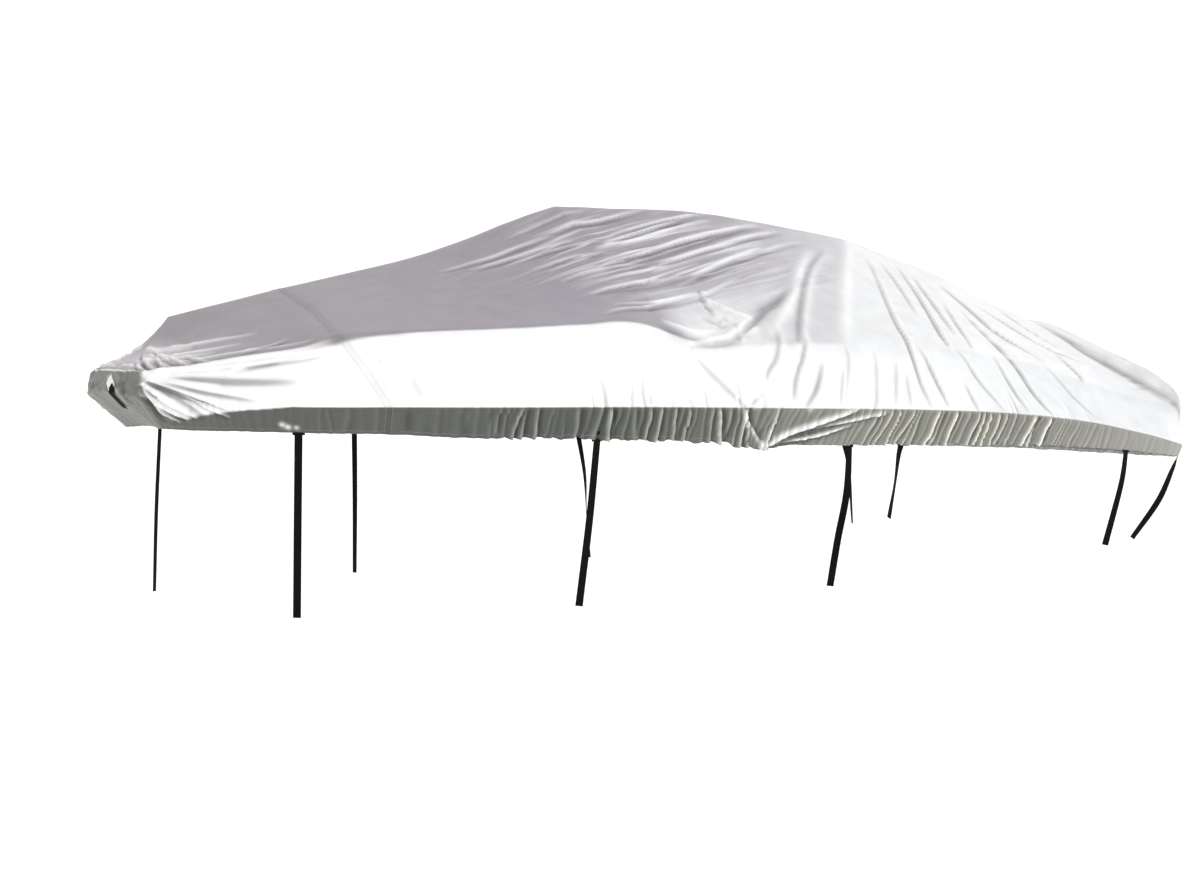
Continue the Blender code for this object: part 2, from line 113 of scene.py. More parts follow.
# Folds: a shape (soft bulge or trough, or roll: a ridge with a trough beside it), after its
# side if it is on one side only, its height and half width in mm, and the places (rib, rung) that
# it runs through.
FOLDS = (
    # The nose and foredeck: bulges that fan aft from the corner of the nose, and crumples above it.
    ("soft", 16, 14, (1.75, 1.1), (3.15, 0.96), (5.75, 1.04)),
    ("soft", -14, 14, (2.2, 1.16), (3.5, 1.42), (4.6, 1.52)),
    ("roll", 12, 12, (2.2, 1.06), (3.8, 1.12), (5.3, 1.16)),
    ("roll", 14, 15, (2, 1.2), (3.05, 1.62), (3.95, 1.86)),
    ("roll", 18, 12, (1.75, 1.52), (2.2, 2.24), (2.7, 2.68)),
    ("soft", -13, 17, (1.9, 1.42), (2.6, 2), (3.05, 2.6)),
    ("roll", 16, 12, (2, 1.38), (2.7, 1.8), (3.45, 2.52)),
    ("soft", -14, 16, (1.75, 1.52), (2, 2.1), (2.1, 2.8)),
    ("roll", 12, 11, (1, 0.7), (1.7, 1)),
    ("roll", 13, 11, (1.4, 0.64), (2.1, 1)),
    ("roll", 12, 11, (1.9, 0.6), (2.5, 0.98)),
    ("roll", 11, 11, (2.4, 0.62), (3, 0.95)),
    ("roll", 10, 11, (2.9, 0.68), (3.4, 0.92)),
    ("soft", 11, 11, (0.7, 0.66), (2, 0.64), (3.6, 0.7)),
    ("roll", 7, 14, (3.95, 0.84), (5, 0.78)),
    ("roll", 7, 14, (3.6, 1.18), (4.5, 1.12)),
    ("port roll", 12, 11, (0.3, 1.22), (0.8, 2.04)),
    ("port soft", -7, 14, (1.1, 1.38), (1.15, 2.32)),
    ("soft", -7, 12, (0, 1.5), (0.6, 1.7), (1.2, 1.45)),
    ("soft", 13, 10, (1.8, 1.14), (2.7, 1.15), (3.9, 1.16)),
    ("soft", 12, 10, (1.9, 1.24), (2.6, 1.36), (3.4, 1.5)),
    ("soft", 14, 10, (1.8, 1.4), (2.3, 1.85), (2.8, 2.35)),
    ("soft", 14, 10, (1.75, 1.62), (2.05, 2.15), (2.4, 2.75)),
    ("soft", -12, 11, (1.8, 1.34), (2.5, 1.62), (3.3, 2.1)),
    ("soft", 12, 11, (0.2, 0.84), (0.9, 0.8), (1.9, 0.9)),
    ("soft", 10, 11, (1, 0.52), (2.4, 0.58), (4.2, 0.66)),
    ("soft", 8, 10, (2.2, 0.74), (3.6, 0.78), (5.4, 0.9)),
    ("port roll", 20, 13, (1.8, 1.5), (2.3, 2.05), (2.9, 2.62)),
    ("port roll", 17, 11, (1.78, 1.66), (2.1, 2.25), (2.5, 2.8)),
    ("port roll", 16, 12, (1.9, 1.34), (2.7, 1.72), (3.5, 2.24)),
    ("roll", 10, 10, (0.6, 0.5), (1.5, 0.72), (2.2, 1)),
    ("roll", 10, 10, (1.6, 0.46), (2.3, 0.66), (2.9, 0.96)),
    ("soft", 10, 12, (0.3, 0.4), (1.4, 0.44), (3.2, 0.52)),
    ("soft", 9, 12, (1.6, 0.4), (3, 0.46), (4.6, 0.56)),
    # Beside the cross seam.
    ("roll", 6, 14, (6.28, 1.26), (6.16, 1.5)),
    ("soft", -6, 14, (6.45, 1.5), (6.45, 1.88)),
    ("roll", 5, 12, (6.1, 1.56), (6.15, 1.9)),
    ("port soft", -12, 12, (6.2, 2), (6.2, 2.9)),
    # The sloping top: long shallow creases that climb aft to the ridge.
    ("roll", 9, 19, (8, 0.25), (9.2, 0.24), (10.4, 0.22)),
    ("roll", 9, 19, (8.45, 0.3), (9.45, 0.3), (10.7, 0.28)),
    ("roll", 11, 19, (10.4, 0.2), (11.5, 0.14), (12.4, 0.04)),
    ("roll", 16, 21, (11.2, 0.32), (12.2, 0.19), (13, 0.07)),
    ("roll", 8, 19, (9.4, 0.44), (11.1, 0.38)),
    ("roll", 16, 23, (11.6, 0.39), (12.8, 0.23), (13.9, 0.07)),
    ("roll", 9, 19, (9.6, 0.58), (11.7, 0.44)),
    ("roll", 11, 19, (9.8, 0.72), (12.1, 0.51)),
    ("roll", 16, 23, (12.2, 0.52), (13.6, 0.27)),
    ("roll", 12, 19, (10.7, 0.8), (12.2, 0.62)),
    ("roll", 8, 18, (9.6, 0.9), (11.8, 0.7)),
    ("roll", 15, 21, (11.9, 0.44), (12.9, 0.3), (14.1, 0.1)),
    ("roll", 11, 16, (11.4, 0.26), (12.5, 0.12), (13.3, 0.03)),
    ("roll", 9, 16, (10.6, 0.5), (12, 0.34)),
    ("roll", 9, 16, (10.9, 0.64), (12.5, 0.42)),
    ("roll", 9, 16, (9.1, 0.34), (10.2, 0.32), (11.2, 0.3)),
    ("soft", 9, 16, (10.9, 0.36), (11.9, 0.26), (12.6, 0.17)),
    ("soft", 10, 16, (11.5, 0.3), (12.3, 0.2), (13.2, 0.08)),
    ("roll", 8, 16, (11.3, 0.46), (12.5, 0.3), (13.5, 0.14)),
    ("soft", 9, 16, (11.6, 0.5), (12.6, 0.36), (13.7, 0.2)),
    ("roll", 9, 18, (11.9, 0.58), (13.2, 0.36), (14.3, 0.16)),
    ("roll", 7, 16, (10.2, 0.7), (11.4, 0.6), (12.6, 0.46)),
    ("roll", 7, 16, (10, 0.82), (11.2, 0.73), (12.1, 0.62)),
    ("roll", 8, 17, (11, 0.76), (12, 0.66), (12.9, 0.5)),
    ("roll", 6, 16, (9.6, 0.14), (10.8, 0.1), (11.6, 0.05)),
    # Where the top drops to the lower deck edge: a sagging valley, with knuckled crumples above it.
    ("soft", -14, 24, (10.6, 0.96), (11.1, 1), (11.5, 1.02), (12.05, 0.97)),
    ("soft", 12, 22, (10.8, 0.88), (11.3, 0.92), (11.8, 0.88)),
    ("roll", 14, 15, (12.15, 0.6), (12.05, 0.7), (12, 0.8)),
    ("roll", 13, 14, (12.1, 0.78), (12.15, 0.86), (12.05, 0.96)),
    ("soft", 13, 14, (12.1, 0.66), (12.3, 0.74), (12.5, 0.8)),
    ("roll", 16, 24, (11, 1.12), (11.9, 0.93), (12.7, 0.74)),
    ("soft", -10, 18, (11.75, 0.8), (12.05, 0.86)),
    ("soft", 14, 13, (12.2, 0.9), (12.45, 0.84)),
    ("roll", 9, 20, (11.05, 1.14), (11.55, 1.62), (11.85, 1.98)),
    ("port roll", 6, 14, (10.8, 1.8), (10.9, 2)),
    ("port roll", 5, 12, (10.05, 1.8), (10, 2)),
    ("port roll", 8, 16, (12.1, 1.76), (11.9, 1.98)),
    # Fanning down from the second peak of the ridge.
    ("roll", 13, 28, (14.5, 0.2), (13.8, 0.48), (12.95, 0.86), (12.75, 1)),
    ("roll", 11, 18, (12.9, 0.9), (12.65, 1.3), (12.45, 1.98)),
    ("soft", -16, 26, (13.65, 0.5), (13.05, 0.66), (12.6, 0.76), (12.1, 0.93)),
    ("soft", 18, 30, (14.3, 0.22), (13.3, 0.62), (12.5, 0.9)),
    ("soft", 14, 34, (15, 0.06), (14, 0.62), (13.2, 1)),
    ("roll", 10, 18, (12.65, 0.82), (12.3, 1.3), (12.2, 1.54)),
    ("roll", 12, 20, (12.95, 1.22), (12.8, 1.68), (12.6, 2.02)),
    ("roll", 6, 16, (13.35, 1), (13.1, 1.98)),
    ("roll", 6, 16, (13.7, 1.08), (13.55, 1.96)),
    ("port roll", 7, 14, (13.2, 1.3), (13.05, 1.96)),
    ("port roll", 6, 14, (13.95, 1.2), (13.8, 1.94)),
    ("port roll", 6, 14, (14.05, 1.36), (14, 1.94)),
    # Where the hem is drawn up into a knot on the port side.
    ("port roll", 22, 18, (12.15, 2.95), (12.6, 2.6), (13.3, 2.02)),
    ("port roll", 18, 15, (12.15, 2.95), (12.7, 2.84), (13.3, 2.4)),
    ("port roll", 14, 13, (12.15, 2.9), (12.25, 2.44), (12.3, 1.9)),
    ("port roll", 12, 13, (12.15, 2.9), (11.9, 2.4), (11.75, 1.9)),
    ("port roll", 16, 14, (12.3, 2.9), (12.9, 2.5), (13.7, 2.1)),
    ("port soft", 16, 20, (12.08, 2.98), (12.2, 2.86)),
    # The stern: long creases from the ridge down and aft into the band.
    ("roll", 13, 15, (15.1, 0.18), (14.3, 0.9), (14.2, 1.42), (14.25, 1.95)),
    ("roll", 9, 15, (15.35, 0.2), (14.85, 0.7)),
    ("roll", 13, 15, (15.85, 0.14), (15, 0.76), (14.8, 0.98)),
    ("roll", 11, 15, (16, 0.22), (15.2, 0.84)),
    ("roll", 13, 15, (14.35, 1.02), (14.4, 1.44), (14.45, 1.92)),
    ("roll", 15, 17, (16.6, 0.2), (16.6, 0.46), (16.65, 0.68), (17.1, 0.86)),
    ("roll", 10, 15, (16, 0.48), (15.25, 0.96)),
    ("roll", 10, 15, (14.9, 0.96), (15, 1.46), (15.2, 1.94)),
    ("roll", 9, 15, (14.75, 1.5), (14.8, 1.98)),
    ("roll", 15, 16, (16.3, 0.5), (16.15, 0.92), (16.1, 1.58), (16.2, 1.96)),
    ("roll", 14, 17, (17.1, 0.32), (17.6, 0.56), (18.4, 0.6)),
    ("roll", 11, 15, (15.7, 1), (15.65, 1.5), (15.7, 1.94)),
    ("roll", 10, 15, (17.8, 0.64), (17.45, 1.06)),
    ("roll", 9, 15, (17.95, 0.06), (18, 0.28), (18.3, 0.5)),
    ("roll", 8, 15, (16.9, 0.9), (17, 1.5), (17.2, 1.9)),
    # The transom: a trough just inside its top edge, little peaks along it, and slack below.
    ("soft", -12, 20, (21.6, 0.16), (19.9, 0.4), (19.6, 0.7), (19.7, 1.1)),
    ("soft", -12, 18, (19.7, 1), (20, 1.3), (20.3, 1.6)),
    ("soft", 14, 22, (20.3, 0.56), (20.6, 0.72)),
    ("soft", 14, 20, (20.2, 0.78), (20.4, 0.9)),
    ("soft", 14, 80, (22.4, 1.2), (22.4, 2.6)),
    ("roll", 10, 40, (21.2, 1.1), (22, 1.7), (22.9, 2)),
    ("port roll", 9, 40, (22.7, 1.15), (22, 1.9)),
)
FOLD_STEPS = 28
FOLD_REACH = 2.6        # how far a fold is felt, in half widths
FOLD_FADE = 0.55
CENTRE_FADE = (-0.02, 0.05)     # folds die out towards the centreline between these y
ROLL_SLOPE = 2.2
ROLL_GAIN = 1.25
MIRROR_JITTER = 0.12    # the starboard folds wander from the port ones by up to this many ribs

# Places where the cloth is crushed into small crumples: rib, rung, radius, height and fineness.
CRUMPLES = (
    (12.05, 0.82, 0.13, 0.013, 22), (11.3, 0.95, 0.12, 0.006, 15), (12.6, 0.95, 0.14, 0.007, 14),
    (1.7, 0.74, 0.2, 0.0075, 21), (1.9, 1.2, 0.1, 0.008, 24), (0.6, 1.6, 0.14, 0.004, 18),
    (6.2, 1.55, 0.1, 0.004, 26), (12.15, 2.8, 0.08, 0.008, 30), (15.8, 2.85, 0.25, 0.003, 30),
    (20.2, 0.75, 0.12, 0.009, 15), (16.9, 1, 0.2, 0.004, 12),
)
CRUMPLE_EDGE = 0.02     # where a crumpled place has faded enough to stop
CRUMPLE_DEPTH = 2.2

# Gathers of the hem's elastic: how strongly it puckers at ribs along each side, and the lean of
# the puckers (0 is upright).
GATHERS = np.array((
    (0, 0.1, 0), (6.4, 0.12, 0), (7.2, 0.3, 0), (7.7, 0.85, 0), (9, 1.1, 0),
    (11.9, 1.2, 0), (12.35, 0.25, 0.9), (13, 0.15, 0.9), (13.5, 0.55, 0.8), (14, 0.9, 0.6),
    (16, 0.95, 0.5), (16.8, 0.45, 0.4), (17.4, 0.1, 0), (20, 0.12, 0), (21, 0.35, 0),
    (23, 0.35, 0),
))
GATHER_SPACING = 0.040
GATHER_CREASE = 0.75
GATHER_CREASE_PLACE = 1.7   # the crease beside a pucker, in its widths
GATHER_SIZES = (0.35, 1.55)
GATHER_WIDTHS = (0.13, 0.30)    # as parts of the spacing
GATHER_STEPS = (0.55, 1.5)      # likewise
GATHER_SLANT = 0.012    # how much single puckers lean by chance
GATHER_LEAN = 0.085     # metres along a rung for a lean of 1
GATHER_SLACK = 0.12     # the cloth between the puckers sits this much lower
TALL_SHARE = 0.22       # of the puckers, which start above the rail
TALL_HEIGHT = 0.5
TALL_START = (1.45, 2.05)
SHORT_START = (1.96, 2.12)
GATHER_HEIGHT = 0.013
GATHER_SCALLOP = 0.013
KNOT_RIB = 12.15
KNOT_DIP = 0.020
KNOT_REACH = 0.22
KNOT_START = (2.3, 3.0)
SCALLOP_START = (2.5, 3.0)

# The cross seam: its doubled strip, and how far it bows aft at places down the rib (rung, metres).
SEAM_WIDTH = 0.034
SEAM_RISE = 0.0016
SEAM_TINT = 0.86
SEAM_BOW = np.array((
    (0, 0.01), (0.5, 0.032), (0.96, -0.005), (1.5, 0.03), (1.9, 0.045), (3, 0.045),
))
SEAM_BOW_REACH = 0.9    # how far the bow is felt, in ribs
SEAM_EDGE = 0.002       # how softly the strip's edge rises, in metres
SEAM_TINT_EDGE = 0.003
METRES_A_RIB = 0.24

# Smooth waviness all over the cloth: (how fine it is, how large in metres).
BROAD_WAVES = (5.0, 0.0030)
FINE_WAVES = (16.0, 0.0012)
FINE_WAVES_TINT = 0.03
GATHER_WARP = (13.0, 0.011)
SCALLOPS_FINENESS = 24.0

# Tints. The top's are by distance behind the line where the second peak's creases run across; ahead of
# it they are painted shade.
LIGHT_LINE = ((1.36, 0.0), (0.60, 0.85))
TOP_SHADE_COLOURS = (
    (-3.6, 0.292, 0.27, 0.288), (-1.6, 0.306, 0.278, 0.315), (-0.9, 0.33, 0.306, 0.34),
    (-0.45, 0.46, 0.445, 0.475), (-0.03, 0.58, 0.58, 0.6), (0.03, 0.76, 0.765, 0.775),
    (1.4, 0.83, 0.835, 0.845),
)
LIFTED_FADE = 1.5       # the fade starts this much earlier at the shoulder, in metres
LIFTED_RUNGS = (0.45, 0.9)
LIFTED_RIBS = (10.6, 11.8)
LIFTED_LIMIT = -0.02    # it never reaches the line itself
SIDE_COLOURS = (
    (-2.6, 0.84, 0.845, 0.84), (-1.8, 0.86, 0.86, 0.86), (0.5, 0.76, 0.768, 0.775),
    (2.7, 0.72, 0.73, 0.74),
)
# Painted shade on the band, which tucks under the rail and faces down.
BAND_SHADE_COLOURS = (
    (-2.6, 0.085, 0.088, 0.078), (-0.9, 0.08, 0.085, 0.075), (-0.3, 0.125, 0.13, 0.112),
    (0, 0.16, 0.164, 0.14), (0.5, 0.21, 0.21, 0.178), (2.2, 0.235, 0.232, 0.206),
    (2.7, 0.31, 0.31, 0.29),
)
TRANSOM_SHADE = 0.04
TRANSOM_RIBS = (20.0, 20.9)
TRANSOM_RUNGS = (0.9, 1.1)
# Painted shade on the front of the nose, which faces away from the light.
NOSE_SHADE_COLOUR = (0.16, 0.165, 0.145)
NOSE_RIBS = (1.65, 1.95)
NOSE_RUNGS = (1.02, 1.1)
# A painted highlight on the top of the nose.
NOSE_HIGHLIGHT = 1.10
NOSE_HIGHLIGHT_PLACE = (1.3, 0.62, 1.9, 0.26)    # rib, rung, and how far each way
STAINS = ((2.3, 5, 0.03), (9.0, 6, 0.02))   # fineness, seed and strength
BAND_SHADE_EDGE = np.array((   # where the painted shade of the band starts: rib, rung
    (0, 1.98), (1.7, 1.9), (2.1, 2.25), (2.7, 2.62), (3.2, 2.38), (3.8, 2.14), (4.4, 2), (23, 2),
))
BAND_SHADE_EDGE_SOFT = (0.02, 0.10)    # its half width on the rail, and how much wider a rung away
TOP_SHADE_EDGE = np.array((   # where the painted shade of the top ends: rib, rung, and half width in rungs
    (0, 0.97, 0.03), (1.75, 1.04, 0.02), (3.1, 0.97, 0.025), (4.5, 1, 0.03), (5.8, 1.1, 0.03),
    (6.4, 1.04, 0.02), (7, 1, 0.012), (10.6, 1, 0.012), (12, 1, 0.03), (15, 1, 0.03),
    (23, 1, 0.1),
))
# Painted light on the folds and gathers: where they rise the cloth is painted lighter (painted
# highlight), and where they sink darker (painted shade).
FOLD_LIGHT_HEIGHT = 0.010     # a fold this high gets the full painted highlight or painted shade
FINE_FOLD = 0.022       # folds with a larger half width than this get less painted highlight and shade
FINE_FOLD_POWER = 1.6
FOLD_HIGHLIGHT = 0.78
FOLD_SHADE = 0.50
GATHER_SHADING = 1.4
GATHER_SHADING_LIMITS = (-0.7, 1.0)
WHITEST = 0.90
BLACKEST = 0.01
RIDGE_CREASE_SHADE = 0.40     # painted shade: the dark line in the crease along the ridge of the stern
RIDGE_CREASE_SHADE_WIDTH = 0.018
RIDGE_CREASE_SHADE_RIBS = (14.4, 15.6)
SCUFFS_AND_HIGHLIGHTS = (              # whitened places on the port side: small scuffs, and in the last two rows painted highlights over the crumpled place: rib, rung, radius and strength
    (4.22, 2.7, 0.012, 0.7), (4.3, 2.8, 0.012, 0.8), (4.42, 2.82, 0.01, 0.6),
    (0.25, 1.4, 0.012, 0.5), (14.3, 2.86, 0.012, 0.35), (14.8, 2.9, 0.014, 0.35),
    (15.3, 2.86, 0.012, 0.3), (20.25, 2.6, 0.016, 0.5), (12.15, 0.84, 0.16, 0.55),
    (11.55, 0.92, 0.12, 0.45),
)

# Tie-down straps: where along the hem each is sewn, and the points that it passes on its way down
# to the trailer, as (x, half-width y, height, turn). The turn is the angle in degrees of the
# webbing's flat away from the boat's side.
STRAPS = (
    ("strap_1", 4.45, ((-2.095, 0.645, 0.78, 0), (-2.104, 0.652, 0.415, 4))),
    ("strap_2", 9.1, ((-0.905, 0.97, 0.78, 10), (-0.931, 0.93, 0.413, 20))),
    ("strap_3", 13.25, ((0.478, 1.01, 0.84, 25), (0.462, 0.97, 0.63, 50), (0.452, 0.93, 0.417, 30))),
    ("strap_4", 17.7, ((2.286, 1, 0.821, 15), (2.251, 0.93, 0.517, 35))),
    ("strap_5", 20.3, ((2.661, 0.998, 0.879, 40), (2.601, 0.962, 0.724, 65), (2.491, 0.891, 0.538, 50))),
)
WEBBING_WIDTH = 0.032
WEBBING_THICKNESS = 0.0016
WEBBING_STEPS = 6
SELVEDGE_THINNING = 0.35
STRAP_STEPS = 16
TAB_STEPS = 4
TAB_WIDTH = 0.050
TAB_ABOVE_HEM = 0.030
TAB_BELOW_HEM = 0.014
TAB_CLEARANCE = 0.0060
LAP_GAP = 0.0022         # the strap laps the outside of its tab
LAP_HEIGHT = 0.012
# The bow strap's line over the nose: down the face, then slanting forward towards the stem.
NOSE_TIE_RUNGS = (1.40, 1.75, 1.96, 2.12, 2.26, 2.44)
NOSE_TIE_RIBS = (0.30, 0.52, 0.58, 0.42, 0.28, 0.14)
TIE_STEP = 0.05
TIE_FLAT_FROM = 1.35
TIE_FLAT_REACH = (0.034, 0.056)
TIE_PATH_STEPS = 16
TIE_STOPS = 24
PATCH_RUNGS = (1.40, 1.80)
BOW_STRAP_RUNGS = (1.70, 2.45)
PATCH_LIFT = 0.0024
BOW_STRAP_LIFT = 0.0056

STITCH_PITCH = 0.0075
STITCH_LENGTH = 0.0050
STITCH_THICKNESS = 0.0011
STITCH_RINGS = ((0, -0.3, 0.6), (0.25, 0.5, 1), (0.75, 0.5, 1), (1, -0.3, 0.6))  # along, rise, size
SEAM_STITCH_OFFSETS = (0.004, 0.030)
SEAM_STITCH_RUNGS = (0.02, 2.98)
SEAM_STITCH_POINTS = 260
HEM_STITCH_POINTS = 700
HEM_STITCH_RUNG = 2.90

CAMERA_PLACE = (-6.63, -8.98, -0.669)
CAMERA_HEADING = (0.585, 0.811, 0)
CAMERA_TILT = 2.18      # degrees down
CAMERA_LENS = 71.4
FLOOR_SIZE = 400
FLOOR_GLOW = 0.40
HORIZON_LIGHT = 1.22
ZENITH_LIGHT = 0.78
KEY_FROM = (0.45, -0.75, 0.35)   # the direction of the key light, low off the port quarter
KEY_STRENGTH = 1.0
KEY_SOFTNESS = 14                # degrees across

# The pulled creases of the sloping top run along one direction and are close together across it.
STREAK_ALONG = (0.94, -0.24, 0.22)
STREAK_ACROSS = (0.33, 0.77, -0.54)
STREAK_SPREAD = (("X", STREAK_ALONG, 1.9), ("Y", STREAK_ACROSS, 30.0))   # how fine each way
# The colour of the painted highlight along the creases' crests.
STREAK_HIGHLIGHT_COLOUR = (0.80, 0.79, 0.82, 1)
STREAKED = (11.6, 0.36, 1.9, 0.26)    # where they are: rib, rung, and how far each way


def spline(a, b, c, d, f):
    """A smooth curve from b to c, past a and d before and after them."""
    squared, cubed = 2 * a - 5 * b + 4 * c - d, 3 * b - a - 3 * c + d
    return 0.5 * (2 * b + (c - a) * f + squared * f**2 + cubed * f**3)


def bell(value, middle, reach):
    return np.exp(-((value - middle) / reach) ** 2)


def read(table, place, column=1):
    """A column of a table at places between its rows, which are in order of its first column."""
    return np.interp(place, table[:, 0], table[:, column])


def spot(rib, rung, place):
    """1 at a place (rib, rung, reach in ribs, reach in rungs), and fading to 0 round it."""
    middle_rib, middle_rung, rib_reach, rung_reach = place
    return np.exp(-((rib - middle_rib) / rib_reach) ** 2 - ((rung - middle_rung) / rung_reach) ** 2)


def blended(rib, rows):
    """A smooth row of the table at a fractional place in it, mirrored beyond both ends."""
    before, after = rows[1].copy(), rows[-2].copy()
    before[1] *= -1
    after[1] *= -1
    rows = np.vstack((before, rows, after))
    rib = np.clip(rib, 0, LAST_RIB)
    low = np.minimum(rib.astype(int), LAST_RIB - 1)
    f = (rib - low)[..., None]
    a, b, c, d = rows[low], rows[low + 1], rows[low + 2], rows[low + 3]
    smooth = spline(a, b, c, d, f)
    peaked = sum(bell(rib, peak, PEAK_REACH) for peak in PEAK_RIBS)
    smooth[..., RIDGE_H] += (b * (1 - f) + c * f - smooth)[..., RIDGE_H] * peaked
    return smooth


def outward(rib):
    """The rail's outward direction in plan."""
    step = 1e-3
    ahead = blended(np.minimum(rib + step, LAST_RIB), RIBS)
    behind = blended(np.maximum(rib - step, 0), RIBS)
    along = (ahead - behind)[..., :2]
    across = np.stack((-along[..., 1], along[..., 0]), axis=-1)
    return across / np.linalg.norm(across, axis=-1, keepdims=True)


def corners(rib):
    """Ridge, shoulder, rail and hem points of ribs on the +Y side, and their crown."""
    row = dict(zip(RIB_COLUMNS, np.moveaxis(blended(rib, RIBS), -1, 0)))
    out_x, out_y = np.moveaxis(outward(rib), -1, 0)

    def inset(distance, height, shift=0.0):
        x = row["edge_x"] - out_x * distance + shift
        y = np.maximum(row["rail_y"] - out_y * distance, 0)
        return np.stack((x, y, height), axis=-1)

    ridge = np.stack((row["ridge_x"], 0 * row["ridge_x"], row["ridge_h"]), axis=-1)
    points = (ridge, inset(row["setback"], row["shoulder_h"], row["rake"]),
              inset(0, row["rail_h"]), inset(row["tuck"], row["hem_h"]))
    return points, row["crown"]


def section(rib, rung):
    """Points of the cover's smooth shape, before folds, on the +Y side."""
    points, crown = corners(rib)

    def straight(t):
        mirrored = t < 0
        t = np.abs(t)
        low = np.minimum(t.astype(int), 2)
        f = (t - low)[..., None]
        start = np.choose(low[..., None], points[:3])
        end = np.choose(low[..., None], points[1:])
        p = start * (1 - f) + end * f
        p[..., 2] += np.where(low == 0, 4 * f[..., 0] * (1 - f[..., 0]) * crown, 0)
        p[..., 1] = np.where(mirrored, -p[..., 1], p[..., 1])
        return p

    result = straight(rung)
    for corner, (before, after) in enumerate(((RIDGE_ROUND, RIDGE_ROUND), SHOULDER_ROUND, RAIL_ROUND)):
        s = (rung - corner + before) / (before + after)
        a = straight(np.full_like(rung, corner - before))
        b = straight(np.full_like(rung, corner + after))
        tip = straight(np.full_like(rung, float(corner)))
        s3 = np.clip(s, 0, 1)[..., None]
        bend = a * (1 - s3) ** 2 + 2 * tip * s3 * (1 - s3) + b * s3**2
        result = np.where(((s > 0) & (s < 1))[..., None], bend, result)
    return result


def smoothstep(low, high, value):
    t = np.clip((value - low) / (high - low), 0, 1)
    return t * t * (3 - 2 * t)


def normals(rib, rung):
    step = 0.01
    along = section(np.minimum(rib + step, LAST_RIB), rung) - section(np.maximum(rib - step, 0), rung)
    down = section(rib, np.minimum(rung + step, 3)) - section(rib, rung - step)
    n = np.cross(along, down)
    return n / np.maximum(np.linalg.norm(n, axis=-1, keepdims=True), 1e-9)


def fold_path(through, shift):
    """Points of the smooth line that a fold follows over the cloth, on the +Y side."""
    places = np.array(through, dtype=float)
    places[:, 0] = np.clip(places[:, 0] + shift, 0, LAST_RIB)
    if len(places) == 2:
        u = np.linspace(0, 1, FOLD_STEPS)[:, None]
        line = places[0] * (1 - u) + places[1] * u
    else:
        padded = np.vstack((2 * places[0] - places[1], places, 2 * places[-1] - places[-2]))
        u = np.linspace(0, len(places) - 1 - 1e-6, FOLD_STEPS)
        low = u.astype(int)
        f = (u - low)[:, None]
        line = spline(*(padded[low + i] for i in range(4)), f)
    return section(line[:, 0], line[:, 1])


def distance_to(path, points):
    """Each point's offset from the path and the place along it, from 0 to 1."""
    start, run = path[:-1], np.diff(path, axis=0)
    offset = points[:, None, :] - start
    along = np.einsum("ijk,jk->ij", offset, run) / np.maximum((run**2).sum(axis=1), 1e-12)
    offset = offset - np.clip(along, 0, 1)[..., None] * run
    nearest = (offset**2).sum(axis=-1).argmin(axis=1)
    each = np.arange(len(points))
    place = (nearest + np.clip(along[each, nearest], 0, 1)) / len(run)
    return offset[each, nearest], run[nearest], place


def fold_height(points, normal, side):
    """How far the folds of one side lift the cloth at each of these points, and how
    much painted highlight (above 0) or painted shade (below 0) they put on it."""
    jitter = np.random.default_rng(7)
    height = np.zeros(len(points))
    fold_light = np.zeros(len(points))
    for kind, height_mm, half_width_mm, *through in FOLDS:
        rise, half_width = height_mm / 1000, half_width_mm / 1000
        only, _, shape = kind.rpartition(" ")
        wander = jitter.uniform(-MIRROR_JITTER, MIRROR_JITTER)
        if only not in (side, ""):
            continue
        path = fold_path(through, wander if side == "starboard" else 0.0)
        reach = FOLD_REACH * half_width
        near = np.all((points > path.min(axis=0) - reach) & (points < path.max(axis=0) + reach), axis=1)
        if not near.any():
            continue
        offset, run, place = distance_to(path, points[near])
        across = np.linalg.norm(offset, axis=1) / half_width
        lift = np.sin(np.pi * place) ** FOLD_FADE * np.exp(-across**2)
        if shape == "roll":
            beside = np.cross(run, normal[near])
            signed = np.einsum("ij,ij->i", offset, beside) / np.linalg.norm(beside, axis=1)
            lift = lift * np.tanh(signed / half_width * ROLL_SLOPE) * ROLL_GAIN
        height[near] += rise * lift
        fineness = min(1, FINE_FOLD / half_width) ** FINE_FOLD_POWER
        fold_light[near] += rise / FOLD_LIGHT_HEIGHT * lift * fineness
    return height, np.clip(fold_light, -1, 1)


def gather_height(rail_length, rib, rung, side):
    """The small upright puckers that the hem's elastic draws in the band under the rail."""
    rng = np.random.default_rng(11 if side == "port" else 12)
    strength, lean = read(GATHERS, rib), read(GATHERS, rib, 2)
    height = np.zeros(rib.shape)
    place = 0.0
    low = smoothstep(*SHORT_START, rung)
    high = smoothstep(*TALL_START, rung)
    while place < rail_length.max():
        size = rng.uniform(*GATHER_SIZES)
        width = rng.uniform(*GATHER_WIDTHS) * GATHER_SPACING
        slant = rng.normal(0, GATHER_SLANT)
        tall = rng.uniform() < TALL_SHARE
        centre = place + (slant + lean * GATHER_LEAN) * (2.5 - rung)
        offset = (rail_length - centre) / width
        crease = GATHER_CREASE * np.exp(-(offset - GATHER_CREASE_PLACE) ** 2)
        height += size * (np.exp(-offset**2) - crease) * (high * TALL_HEIGHT if tall else low)
        place += GATHER_SPACING * rng.uniform(*GATHER_STEPS)
    return (height - GATHER_SLACK * low) * strength


def crinkle(points, scale, seed):
    """Smooth noise between -1 and 1 at each point."""
    shift = Vector((seed * 7.3, seed * 3.1, seed * 5.7))
    return np.array([noise.noise(Vector(p) * scale + shift) for p in points])


